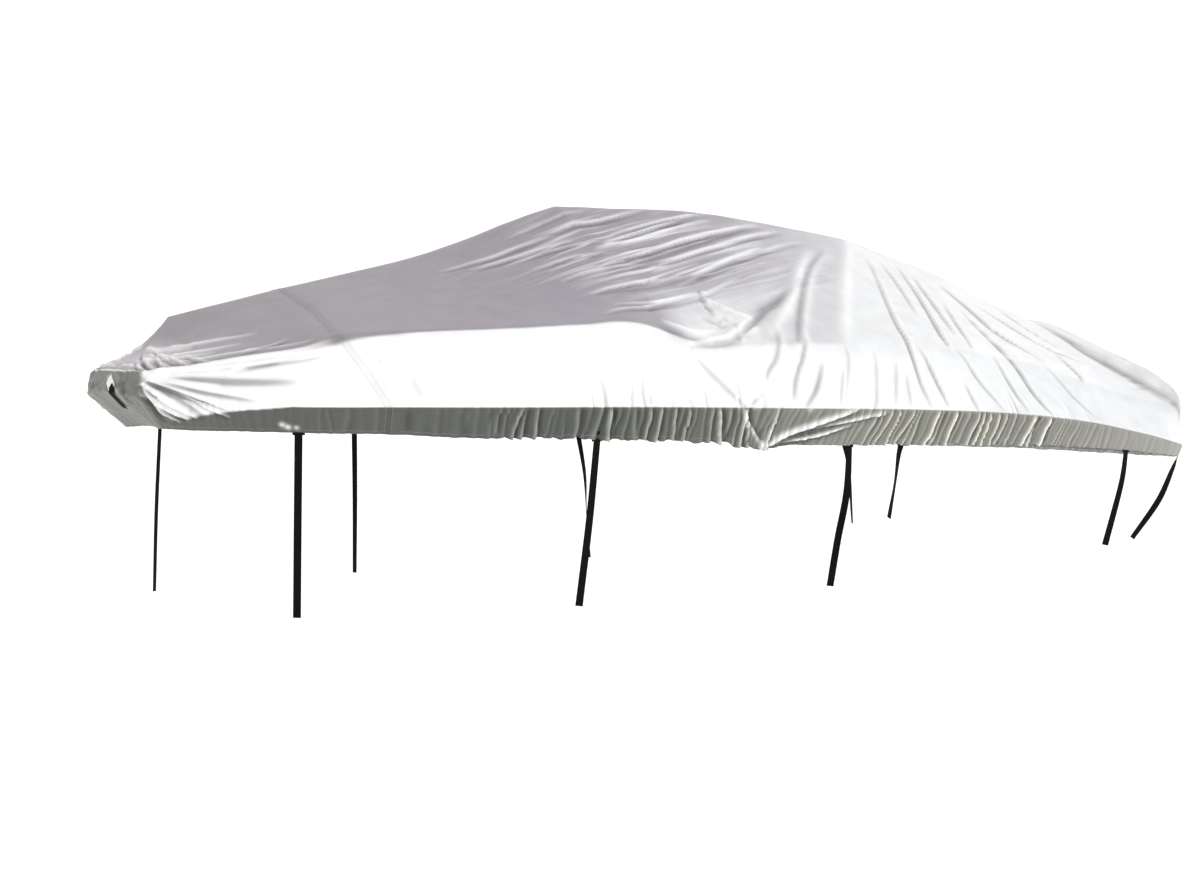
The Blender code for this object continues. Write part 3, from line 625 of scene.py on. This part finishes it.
def close_to(smooth, rib, rung, radius):
    """1 at one place of the cloth, and fading to 0 round it."""
    centre = section(np.array([float(rib)]), np.array([float(rung)]))
    return np.exp(-((smooth - centre) ** 2).sum(axis=1) / radius**2)


def crumple_height(smooth, side):
    """Small crushed folds round each place in the table."""
    height = np.zeros(len(smooth))
    for place, (rib, rung, radius, rise, fineness) in enumerate(CRUMPLES):
        near = close_to(smooth, rib, rung, radius)
        inside = near > CRUMPLE_EDGE
        shape = crinkle(smooth[inside], fineness, place + (0 if side == "port" else 20))
        height[inside] += rise * near[inside] * (1 - CRUMPLE_DEPTH * np.abs(shape))
    return height


def rail_lengths(rib, density=1):
    """Distances along the rail from the first of these ribs, weighted by a density."""
    rail = section(rib, np.full_like(rib, 2.0))
    return np.concatenate(([0], np.cumsum(np.linalg.norm(np.diff(rail, axis=0), axis=1) * density)))


def even_ribs(first, last, count, density=EVEN_DENSITY):
    """Rib places from first to last along the rail, closer together where the density is higher."""
    fine = np.linspace(first, last, 800)
    length = rail_lengths(fine, np.interp(fine[1:], *zip(*density)))
    return np.interp(np.linspace(0, length[-1], count), length, fine)


def rail_length_at(rib):
    """Distance along the rail from the middle of the bow."""
    fine = np.linspace(0, LAST_RIB, 2000)
    return np.interp(rib, fine, rail_lengths(fine))


def cloth_points(rib, rung, side):
    """Finished points of the cloth in the frame, their colours and outward normals."""
    smooth = section(rib, rung)
    normal = normals(rib, rung)
    lift, fold_light = fold_height(smooth, normal, side)
    seed = 1 if side == "port" else 2
    warped = rail_length_at(rib) + GATHER_WARP[1] * crinkle(smooth, GATHER_WARP[0], seed + 8)
    gather = gather_height(warped, rib, rung, side)
    broad = crinkle(smooth, BROAD_WAVES[0], seed)
    fine = crinkle(smooth, FINE_WAVES[0], seed + 2)
    lift += gather * GATHER_HEIGHT + BROAD_WAVES[1] * broad + FINE_WAVES[1] * fine
    lift += SEAM_RISE * seam_strip(rib, SEAM_EDGE) + crumple_height(smooth, side)
    lift *= smoothstep(*CENTRE_FADE, smooth[:, 1])
    if side == "port":
        lift *= off_the_tie(smooth)
    pulled = GATHER_SCALLOP * crinkle(smooth, SCALLOPS_FINENESS, seed + 4)
    pulled *= smoothstep(*SCALLOP_START, rung)
    pulled *= read(GATHERS, rib)
    if side == "port":
        pulled -= KNOT_DIP * bell(rib, KNOT_RIB, KNOT_REACH) * smoothstep(*KNOT_START, rung)
    points = smooth + normal * lift[:, None]
    points[:, 0] += read(SEAM_BOW, rung) * bell(rib, SEAM_RIB, SEAM_BOW_REACH)
    points[:, 2] += pulled - ORIGIN_HEIGHT
    colours = cloth_colours(rib, rung, smooth)
    # Painted highlight on the folds' crests and painted shade in their troughs.
    bright = FOLD_HIGHLIGHT * np.maximum(fold_light, 0)[:, None]
    colours = colours + (WHITEST - colours) * bright
    colours *= (1 + FOLD_SHADE * np.minimum(fold_light, 0))[:, None]
    # Painted highlight on the puckers of the gathers and painted shade between them.
    gather_shading = np.exp(GATHER_SHADING * np.clip(gather, *GATHER_SHADING_LIMITS))
    colours *= (gather_shading + FINE_WAVES_TINT * fine)[:, None]
    # Whitened scuffs, and painted highlights over the crumpled place.
    if side == "port":
        for scuff_rib, scuff_rung, radius, strength in SCUFFS_AND_HIGHLIGHTS:
            near = close_to(smooth, scuff_rib, scuff_rung, radius) * strength
            colours += (WHITEST - colours) * near[:, None]
    colours = np.clip(colours, BLACKEST, WHITEST)
    points[:, 1] *= SIDES[side]
    normal[:, 1] *= SIDES[side]
    return points, colours, normal


def off_the_tie(smooth):
    """0 under the nose's patch and strap, which hold the cloth flat, and 1 away from them."""
    rung = np.linspace(TIE_FLAT_FROM, NOSE_TIE_RUNGS[-1], TIE_PATH_STEPS)
    path = section(np.interp(rung, NOSE_TIE_RUNGS, NOSE_TIE_RIBS), rung)
    offset, _, _ = distance_to(path, smooth)
    return smoothstep(*TIE_FLAT_REACH, np.linalg.norm(offset, axis=1))


def seam_strip(rib, edge):
    """1 on the doubled cloth just ahead of the cross seam, and 0 off it."""
    ahead = (SEAM_RIB - rib) * METRES_A_RIB
    return smoothstep(-edge, edge, ahead) * (1 - smoothstep(SEAM_WIDTH - edge, SEAM_WIDTH + edge, ahead))


def table_colour(table, x):
    """A colour that changes along the boat, from a table of rows (x, red, green, blue)."""
    return np.stack([read(np.array(table), x, column) for column in (1, 2, 3)], axis=-1)


def cloth_colours(rib, rung, smooth):
    """The cloth's tint: painted shade on the top ahead of the light line, on the band and on the nose, a
    light tone on the sides, a painted highlight on the nose's top, and stains.
    """
    x, y = smooth[:, 0], smooth[:, 1]
    (from_x, from_y), (to_x, to_y) = LIGHT_LINE
    line_x = from_x + (to_x - from_x) * (y - from_y) / (to_y - from_y)
    behind = x - line_x
    lifted = behind + LIFTED_FADE * smoothstep(*LIFTED_RUNGS, rung) * smoothstep(*LIFTED_RIBS, rib)
    behind = np.where(behind < 0, np.minimum(lifted, LIFTED_LIMIT), behind)
    # Painted shade on the top ahead of the light line, lighter behind it.
    top = table_colour(TOP_SHADE_COLOURS, behind)
    boundary, width = read(TOP_SHADE_EDGE, rib), read(TOP_SHADE_EDGE, rib, 2)
    below = smoothstep(boundary - width, boundary + width, rung)[:, None]
    colour = top * (1 - below) + table_colour(SIDE_COLOURS, x) * below
    # Painted shade on the band under the rail.
    edge = read(BAND_SHADE_EDGE, rib)
    soft_edge = BAND_SHADE_EDGE_SOFT[0] + BAND_SHADE_EDGE_SOFT[1] * np.abs(edge - 2)
    under = smoothstep(edge - soft_edge, edge + soft_edge, rung)[:, None]
    colour = colour * (1 - under) + table_colour(BAND_SHADE_COLOURS, x) * under
    # Painted shade on the front of the nose.
    front = ((1 - smoothstep(*NOSE_RIBS, rib)) * smoothstep(*NOSE_RUNGS, rung))[:, None]
    colour = colour * (1 - front) + np.array(NOSE_SHADE_COLOUR) * front
    # Painted highlight on the top of the nose.
    nose_highlight = NOSE_HIGHLIGHT * spot(rib, rung, NOSE_HIGHLIGHT_PLACE)
    colour = colour * (1 + nose_highlight)[:, None]
    colour = colour * (1 - seam_strip(rib, SEAM_TINT_EDGE) * (1 - SEAM_TINT))[:, None]
    shaded = TRANSOM_SHADE * smoothstep(*TRANSOM_RIBS, rib) * smoothstep(*TRANSOM_RUNGS, rung)
    colour = colour * (1 - shaded)[:, None]
    # Painted shade in the crease along the stern's ridge.
    creased = RIDGE_CREASE_SHADE * bell(rung, 0, RIDGE_CREASE_SHADE_WIDTH) * smoothstep(*RIDGE_CREASE_SHADE_RIBS, rib)
    colour = colour * (1 - creased)[:, None]
    stain = sum(crinkle(smooth, fineness, seed) * strength for fineness, seed, strength in STAINS)
    return colour * (1 + stain)[:, None]


def panel_sheet(name, first, last, mat):
    """One panel as a sheet: two sides of rows from the ridge to the turned-in hem."""
    ribs = even_ribs(first, last, FINE_RIBS[name], RIB_DENSITY)
    bm = bmesh.new()
    tint = bm.verts.layers.float_color.new("cover_tint")
    streaked = bm.verts.layers.float.new("streaked")
    for side in SIDES:
        top_rows, side_rows = UPPER_ROWS[name, side]
        top = 1 - (1 - np.linspace(0, 1, top_rows + 1)[:-1]) ** TOP_ROW_BIAS
        lower = np.linspace(*SIDE_REACH, side_rows)
        band = np.linspace(BAND_FROM, 3, BAND_ROWS[side])
        rungs = np.concatenate((top[top < TOP_ROWS_END], SHOULDER_ROWS, lower, RAIL_ROWS, band))
        rows = []
        for row_rung in rungs:
            row_ribs = ribs if row_rung > FINE_FROM[side] else ribs[::2]
            rows.append((row_ribs, np.full(len(row_ribs), row_rung)))
        sizes = [len(row_ribs) for row_ribs, _ in rows]
        rib, rung = (np.concatenate(column) for column in zip(*rows))
        points, colours, _ = cloth_points(rib, rung, side)
        masks = spot(rib, rung, STREAKED)
        starts = np.concatenate(([0], np.cumsum(sizes)))
        grid = []
        for start, size in zip(starts, sizes):
            row = []
            part = slice(start, start + size)
            for p, c, s in zip(points[part], colours[part], masks[part]):
                vert = bm.verts.new(p)
                vert[tint] = (*c, 1)
                vert[streaked] = s
                row.append(vert)
            grid.append(row)
        add_hem_roll(bm, grid, rows[-1][0], side, tint)
        flip = side == "port"
        for above, below in zip(grid, grid[1:]):
            join_rows(bm, above, below, flip)
    finish_sheet(bm)
    return new_object(name + "_cloth", bm, mat)


def add_hem_roll(bm, grid, ribs, side, tint):
    """Turn the hem in and up inside the band."""
    out = outward(ribs)
    last = grid[-1]
    for inward, up in HEM_ROLL:
        row = []
        for vert, (out_x, out_y) in zip(last, out):
            p = vert.co - Vector((out_x * inward, out_y * SIDES[side] * inward, -up))
            rolled = bm.verts.new(p)
            rolled[tint] = vert[tint]
            row.append(rolled)
        grid.append(row)


def join_rows(bm, above, below, flip):
    """Faces between two rows of the mesh; the lower row may have twice the ribs."""
    ratio = (len(below) - 1) // (len(above) - 1)
    for i in range(len(above) - 1):
        ring = [above[i]] + below[ratio * i:ratio * (i + 1) + 1] + [above[i + 1]]
        if flip:
            ring.reverse()
        bm.faces.new(ring)


def finish_sheet(bm):
    """Join the two sides along the centreline, and the ribs that crowd together at its ends."""
    middle = [v for v in bm.verts if abs(v.co.y) < MIDDLE]
    bmesh.ops.remove_doubles(bm, verts=middle, dist=MIDDLE)
    crowded = [v for v in bm.verts if abs(v.co.y) < MIDDLE and v.co.z > RIDGE_ABOVE]
    bmesh.ops.remove_doubles(bm, verts=crowded, dist=CROWDED_GAP)
    bmesh.ops.recalc_face_normals(bm, faces=bm.faces)
    highest = max(bm.faces, key=lambda f: f.calc_center_median().z)
    if highest.normal.z < 0:
        bmesh.ops.reverse_faces(bm, faces=bm.faces)


def new_object(name, bm, mat):
    mesh = bpy.data.meshes.new(name)
    bm.to_mesh(mesh)
    bm.free()
    mesh.materials.append(mat)
    mesh.shade_smooth()
    obj = bpy.data.objects.new(name, mesh)
    bpy.context.scene.collection.objects.link(obj)
    return obj


def strip_mesh(name, stops, width, mat):
    """Webbing as a closed flat strip with thinner selvedges, through stops of (point, across)."""
    bm = bmesh.new()
    places = np.linspace(-0.5, 0.5, WEBBING_STEPS + 1)
    rings = []
    for i, (point, across) in enumerate(stops):
        following = stops[min(i + 1, len(stops) - 1)][0]
        previous = stops[max(i - 1, 0)][0]
        along = (following - previous).normalized()
        across = (across - along * across.dot(along)).normalized()
        face = along.cross(across)
        outer, inner = [], []
        for s in places:
            half = WEBBING_THICKNESS / 2 * (1 - SELVEDGE_THINNING * (2 * s) ** 8)
            middle = point + across * s * width
            outer.append(bm.verts.new(middle + face * half))
            inner.append(bm.verts.new(middle - face * half))
        rings.append(outer + inner[::-1])
    for a, b in zip(rings, rings[1:]):
        for i in range(len(a)):
            j = (i + 1) % len(a)
            bm.faces.new((a[i], a[j], b[j], b[i]))
    bm.faces.new(rings[0])
    bm.faces.new(list(reversed(rings[-1])))
    bmesh.ops.recalc_face_normals(bm, faces=bm.faces)
    obj = new_object(name, bm, mat)
    obj.data.set_sharp_from_angle(angle=math.radians(50))
    return obj


def smooth_stops(stops, steps):
    """More stops along a smooth curve through the given (point, across) ones."""
    table = np.array([(*point, *across) for point, across in stops])
    padded = np.vstack((2 * table[0] - table[1], table, 2 * table[-1] - table[-2]))
    result = []
    for i in range(len(table) - 1):
        for f in np.arange(steps) / steps:
            result.append(spline(*padded[i:i + 4], f))
    result.append(table[-1])
    return [(Vector(row[:3]), Vector(row[3:])) for row in result]


def turned(side, rib, degrees):
    """The webbing's width direction: along the rail there, turned about the vertical."""
    out_x, out_y = outward(np.array(rib, dtype=float))
    angle = math.radians(degrees)
    along = Vector((out_y, -out_x, 0))
    across = Vector((out_x, out_y, 0))
    direction = along * math.cos(angle) + across * math.sin(angle)
    direction.y *= SIDES[side]
    return direction


def strip_length(stops):
    return sum((b[0] - a[0]).length for a, b in zip(stops, stops[1:]))


def placed(point, side):
    x, y, h = point
    return Vector((x, y * SIDES[side], h - ORIGIN_HEIGHT))


def tie_down(name, side, rib, passes, mat):
    """A tab sewn inside the hem, and the strap that hangs from it."""
    (_, _, rail, hem), _ = corners(np.array(rib, dtype=float))
    band_normal = normals(np.array(rib, dtype=float), np.array(2.7))
    up_band = (rail - hem) / np.linalg.norm(rail - hem)
    sideways = turned(side, rib, 0)
    tab_line = hem - band_normal * TAB_CLEARANCE
    tab_foot = tab_line - np.array((0, 0, TAB_BELOW_HEM))
    tab_places = (tab_line + up_band * TAB_ABOVE_HEM, tab_line, tab_foot)
    tab_stops = [(placed(point, side), sideways) for point in tab_places]
    tab = strip_mesh(f"{name}_tab_{side}_webbing", smooth_stops(tab_stops, TAB_STEPS), TAB_WIDTH, mat)
    lap = tab_foot + band_normal * LAP_GAP + np.array((0, 0, LAP_HEIGHT))
    stops = [(placed(lap, side), sideways)]
    for x, y, h, turn in passes:
        stops.append((placed((x, y, h), side), turned(side, rib, turn)))
    fine = smooth_stops(stops, STRAP_STEPS)
    strap = strip_mesh(f"{name}_{side}_webbing", fine, WEBBING_WIDTH, mat)
    tab_node = f"{name}_tab_{side}"
    return {tab_node: tab, f"{name}_{side}": strap}


def nose_line(rung, lift):
    """Points above the line of the bow strap, and the cloth's outward normals there."""
    points, _, normal = cloth_points(np.interp(rung, NOSE_TIE_RUNGS, NOSE_TIE_RIBS), rung, "port")
    return points + normal * lift, normal


def nose_strip(name, ends, width, lift, mat):
    """A strip that lies on the cloth of the nose and runs down it: (the object, its length)."""
    rung = np.linspace(*ends, TIE_STOPS)
    points, normal = nose_line(rung, lift)
    along = nose_line(rung + TIE_STEP / 2, 0)[0] - nose_line(rung - TIE_STEP / 2, 0)[0]
    across = np.cross(along, normal)
    stops = [(Vector(p), Vector(a).normalized()) for p, a in zip(points, across)]
    return strip_mesh(name, stops, width, mat), strip_length(stops)


def stitches(name, rows, mat):
    """Rows of thread stitches, each row a list of (point, outward normal), as one joined mesh."""
    bm = bmesh.new()
    for row in rows:
        travelled = 0.0
        for (a, out), (b, _) in zip(row, row[1:]):
            run = (b - a).length
            if run < 1e-6:
                continue
            along = (b - a) / run
            while travelled < run:
                add_stitch(bm, a + along * travelled, along, out)
                travelled += STITCH_PITCH
            travelled -= run
    return new_object(name, bm, mat)


def add_stitch(bm, start, along, out):
    """One stitch: a small bar that dips into the cloth at both ends."""
    beside = along.cross(out).normalized() * STITCH_THICKNESS * 0.5
    rings = []
    for u, rise, size in STITCH_RINGS:
        middle = start + along * u * STITCH_LENGTH + out * rise * STITCH_THICKNESS
        top = out * STITCH_THICKNESS * 0.5 * size
        rings.append([bm.verts.new(middle + v) for v in (beside * size, top, -beside * size)])
    for a, b in zip(rings, rings[1:]):
        for i in range(2):
            bm.faces.new((a[i], a[i + 1], b[i + 1], b[i]))


def cloth_rows(places):
    """Stitch rows on the cloth, from (side, ribs, rungs) arrays."""
    rows = []
    for side, rib, rung in places:
        points, _, normal = cloth_points(rib, rung, side)
        rows.append([(Vector(p), Vector(n)) for p, n in zip(points, normal)])
    return rows


def shader_material(name, colour, roughness, **sockets):
    mat = bpy.data.materials.new(name)
    mat.use_nodes = True
    shader = mat.node_tree.nodes["Principled BSDF"]
    values = {"Base Color": (*colour, 1), "Roughness": roughness, "Metallic": 0.0}
    values.update({socket.replace("_", " "): value for socket, value in sockets.items()})
    for socket, value in values.items():
        shader.inputs[socket].default_value = value
    return mat, shader


def add_node(tree, kind, inputs=None, **settings):
    """A node whose inputs are set to a value, or linked to an output given as (node, output)."""
    node = tree.nodes.new("ShaderNode" + kind)
    for key, value in settings.items():
        setattr(node, key, value)
    for socket, value in (inputs or {}).items():
        if isinstance(value, tuple) and isinstance(value[0], bpy.types.Node):
            link(tree, *value, node, socket)
        else:
            node.inputs[socket].default_value = value
    return node


def link(tree, source, output, target, socket):
    tree.links.new(source.outputs[output], target.inputs[socket])


def cloth_material():
    """Silver-coated polyester: its tint, painted shade and highlights included, comes from the cloth,
    with painted highlights along the top's streaks, a fine weave and a dry crinkle.
    """
    mat, shader = shader_material("silver_polyester", (0.5, 0.5, 0.5), 0.46, Sheen_Weight=0.12,
                                  Sheen_Roughness=0.5, Specular_IOR_Level=0.35)
    tree = mat.node_tree
    tint = add_node(tree, "VertexColor", layer_name="cover_tint")
    place = add_node(tree, "TexCoord")
    everywhere = (place, "Object")
    mottle = add_node(tree, "TexNoise", {"Scale": 9.0, "Detail": 6.0, "Vector": everywhere})
    strength = add_node(tree, "MapRange", {"From Min": 0.3, "From Max": 0.7, "To Min": 0.955,
                                           "To Max": 1.045, "Value": (mottle, "Fac")})
    mottled = add_node(tree, "VectorMath", {0: (tint, "Color")}, operation="SCALE")
    link(tree, strength, "Result", mottled, "Scale")
    crinkles = add_node(tree, "TexNoise", {"Scale": 26.0, "Detail": 4.0, "Distortion": 0.6,
                                           "Vector": everywhere})
    weave = add_node(tree, "TexNoise", {"Scale": 900.0, "Vector": everywhere})
    crinkle_bump = add_node(tree, "Bump", {"Strength": 0.22, "Distance": 0.003,
                                           "Height": (crinkles, "Fac")})
    streaks, streak_bump = add_streaks(tree, everywhere)
    link(tree, crinkle_bump, "Normal", streak_bump, "Normal")
    weave_bump = add_node(tree, "Bump", {"Strength": 0.15, "Distance": 0.0004,
                                         "Height": (weave, "Fac"), "Normal": (streak_bump, "Normal")})
    # Painted highlight along the crests of the streaks.
    lit = add_node(tree, "Mix", {0: (streaks, 0), 6: (mottled, "Vector"), 7: STREAK_HIGHLIGHT_COLOUR},
                   data_type="RGBA")
    link(tree, lit, 2, shader, "Base Color")
    link(tree, weave_bump, "Normal", shader, "Normal")
    return mat


def add_streaks(tree, everywhere):
    """Fine pulled creases in the sloping top: (their painted highlight along the crests, their bump
    node).
    """
    split = add_node(tree, "SeparateXYZ", {"Vector": everywhere})
    outboard = add_node(tree, "Math", {0: (split, "Y")}, operation="ABSOLUTE")
    same = add_node(tree, "CombineXYZ", {"X": (split, "X"), "Y": (outboard, "Value"),
                                         "Z": (split, "Z")})
    spread = add_node(tree, "CombineXYZ")
    for socket, direction, scale in STREAK_SPREAD:
        project = add_node(tree, "VectorMath", {0: (same, "Vector")}, operation="DOT_PRODUCT")
        project.inputs[1].default_value = [part * scale for part in direction]
        link(tree, project, "Value", spread, socket)
    lines = add_node(tree, "TexNoise", {"Scale": 1.0, "Detail": 1.5, "Vector": (spread, "Vector")})
    mask = add_node(tree, "Attribute", attribute_name="streaked")
    crest = add_node(tree, "MapRange", {"From Min": 0.50, "From Max": 0.66, "To Max": 1.0,
                                        "Value": (lines, "Fac")})
    bright = add_node(tree, "Math", {0: (crest, "Result"), 1: (mask, "Fac")}, operation="MULTIPLY")
    height = add_node(tree, "Math", {0: (lines, "Fac"), 1: (mask, "Fac")}, operation="MULTIPLY")
    bump = add_node(tree, "Bump", {"Strength": 0.7, "Distance": 0.045, "Height": (height, "Value")})
    return bright, bump


def webbing_material():
    """Black polypropylene webbing with fine ribs across it."""
    mat, shader = shader_material("black_webbing", (0.0035, 0.0035, 0.004), 0.8,
                                  Specular_IOR_Level=0.10)
    tree = mat.node_tree
    place = add_node(tree, "TexCoord")
    ribs = add_node(tree, "TexWave", {"Scale": 110.0, "Distortion": 0.6, "Vector": (place, "Object")},
                    bands_direction="Z")
    bump = add_node(tree, "Bump", {"Strength": 0.4, "Distance": 0.0006, "Height": (ribs, "Fac")})
    link(tree, bump, "Normal", shader, "Normal")
    return mat


def add_floor():
    """A pale floor at ground level."""
    bm = bmesh.new()
    bmesh.ops.create_grid(bm, x_segments=1, y_segments=1, size=FLOOR_SIZE / 2)
    mat, _ = shader_material("pale_floor", (0.86, 0.86, 0.86), 0.9, Emission_Color=(1, 1, 1, 1),
                             Emission_Strength=FLOOR_GLOW)
    floor = new_object("floor", bm, mat)
    floor.location.z = -ORIGIN_HEIGHT


def add_world():
    """An evenly lit studio, brighter round the horizon than overhead."""
    world = bpy.data.worlds.new("studio")
    bpy.context.scene.world = world
    world.use_nodes = True
    tree = world.node_tree
    background = tree.nodes["Background"]
    place = add_node(tree, "TexCoord")
    split = add_node(tree, "SeparateXYZ", {"Vector": (place, "Generated")})
    ramp = add_node(tree, "MapRange", {"From Min": 0.16, "From Max": 0.65, "To Min": HORIZON_LIGHT,
                                       "To Max": ZENITH_LIGHT, "Value": (split, "Z")})
    link(tree, ramp, "Result", background, "Strength")
    background.inputs["Color"].default_value = (1, 1, 1, 1)


def add_key_light():
    light = bpy.data.lights.new("key_light", "SUN")
    light.energy = KEY_STRENGTH
    light.angle = math.radians(KEY_SOFTNESS)
    lamp = bpy.data.objects.new("key_light", light)
    lamp.rotation_euler = Vector(KEY_FROM).to_track_quat("Z", "Y").to_euler()
    bpy.context.scene.collection.objects.link(lamp)


def add_camera():
    """The camera stands off the port bow, at the eye's height."""
    tilt = math.radians(CAMERA_TILT)
    heading = Vector(CAMERA_HEADING).normalized()
    forward = Vector((heading.x * math.cos(tilt), heading.y * math.cos(tilt), -math.sin(tilt)))
    data = bpy.data.cameras.new("camera")
    data.sensor_width = 36.0
    data.lens = CAMERA_LENS
    camera = bpy.data.objects.new("camera", data)
    camera.location = CAMERA_PLACE
    camera.rotation_euler = forward.to_track_quat("-Z", "Y").to_euler()
    bpy.context.scene.collection.objects.link(camera)
    bpy.context.scene.camera = camera


def seam_rows():
    """Stitch rows of the cross seam on both sides."""
    rung = np.linspace(*SEAM_STITCH_RUNGS, SEAM_STITCH_POINTS)
    places = []
    for side in SIDES:
        for offset in SEAM_STITCH_OFFSETS:
            places.append((side, np.full_like(rung, SEAM_RIB - offset / METRES_A_RIB), rung))
    return cloth_rows(places)


def hem_rows(first, last):
    rib = even_ribs(first, last, HEM_STITCH_POINTS)
    return cloth_rows([(side, rib, np.full_like(rib, HEM_STITCH_RUNG)) for side in SIDES])


def finish_piece(obj, node):
    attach(obj, "root")
    if node:
        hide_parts(node)


def main():
    bpy.context.scene.view_settings.view_transform = "Standard"
    add_camera()
    add_world()
    add_floor()
    add_key_light()
    cloth = cloth_material()
    webbing = webbing_material()
    thread, _ = shader_material("grey_thread", (0.42, 0.41, 0.40), 0.6)
    pale, _ = shader_material("scuffed_patch", (0.74, 0.75, 0.76), 0.4)

    bow = panel_sheet("bow_panel", 0, SEAM_RIB, cloth)
    main_part = panel_sheet("main_panel", SEAM_RIB, LAST_RIB, cloth)
    pieces = {}
    for side in SIDES:
        for name, rib, passes in STRAPS:
            pieces.update(tie_down(name, side, rib, passes, webbing))
    patch, patch_length = nose_strip("nose_patch", PATCH_RUNGS, TAB_WIDTH, PATCH_LIFT, pale)
    bow_strap, bow_strap_length = nose_strip("nose_strap", BOW_STRAP_RUNGS, WEBBING_WIDTH,
                                             BOW_STRAP_LIFT, webbing)
    bow_thread = stitches("bow_thread", seam_rows() + hem_rows(0.02, SEAM_RIB - 0.1), thread)
    main_thread = stitches("main_thread", hem_rows(SEAM_RIB + 0.1, LAST_RIB - 0.02), thread)

    for obj, node in ((bow, "bow_panel"), (main_part, "main_panel"), (bow_thread, None),
                      (main_thread, None), (patch, "bow_patch")):
        finish_piece(obj, node)
    finish_piece(bow_strap, "strap_bow")
    for node, obj in pieces.items():
        finish_piece(obj, node)


main()
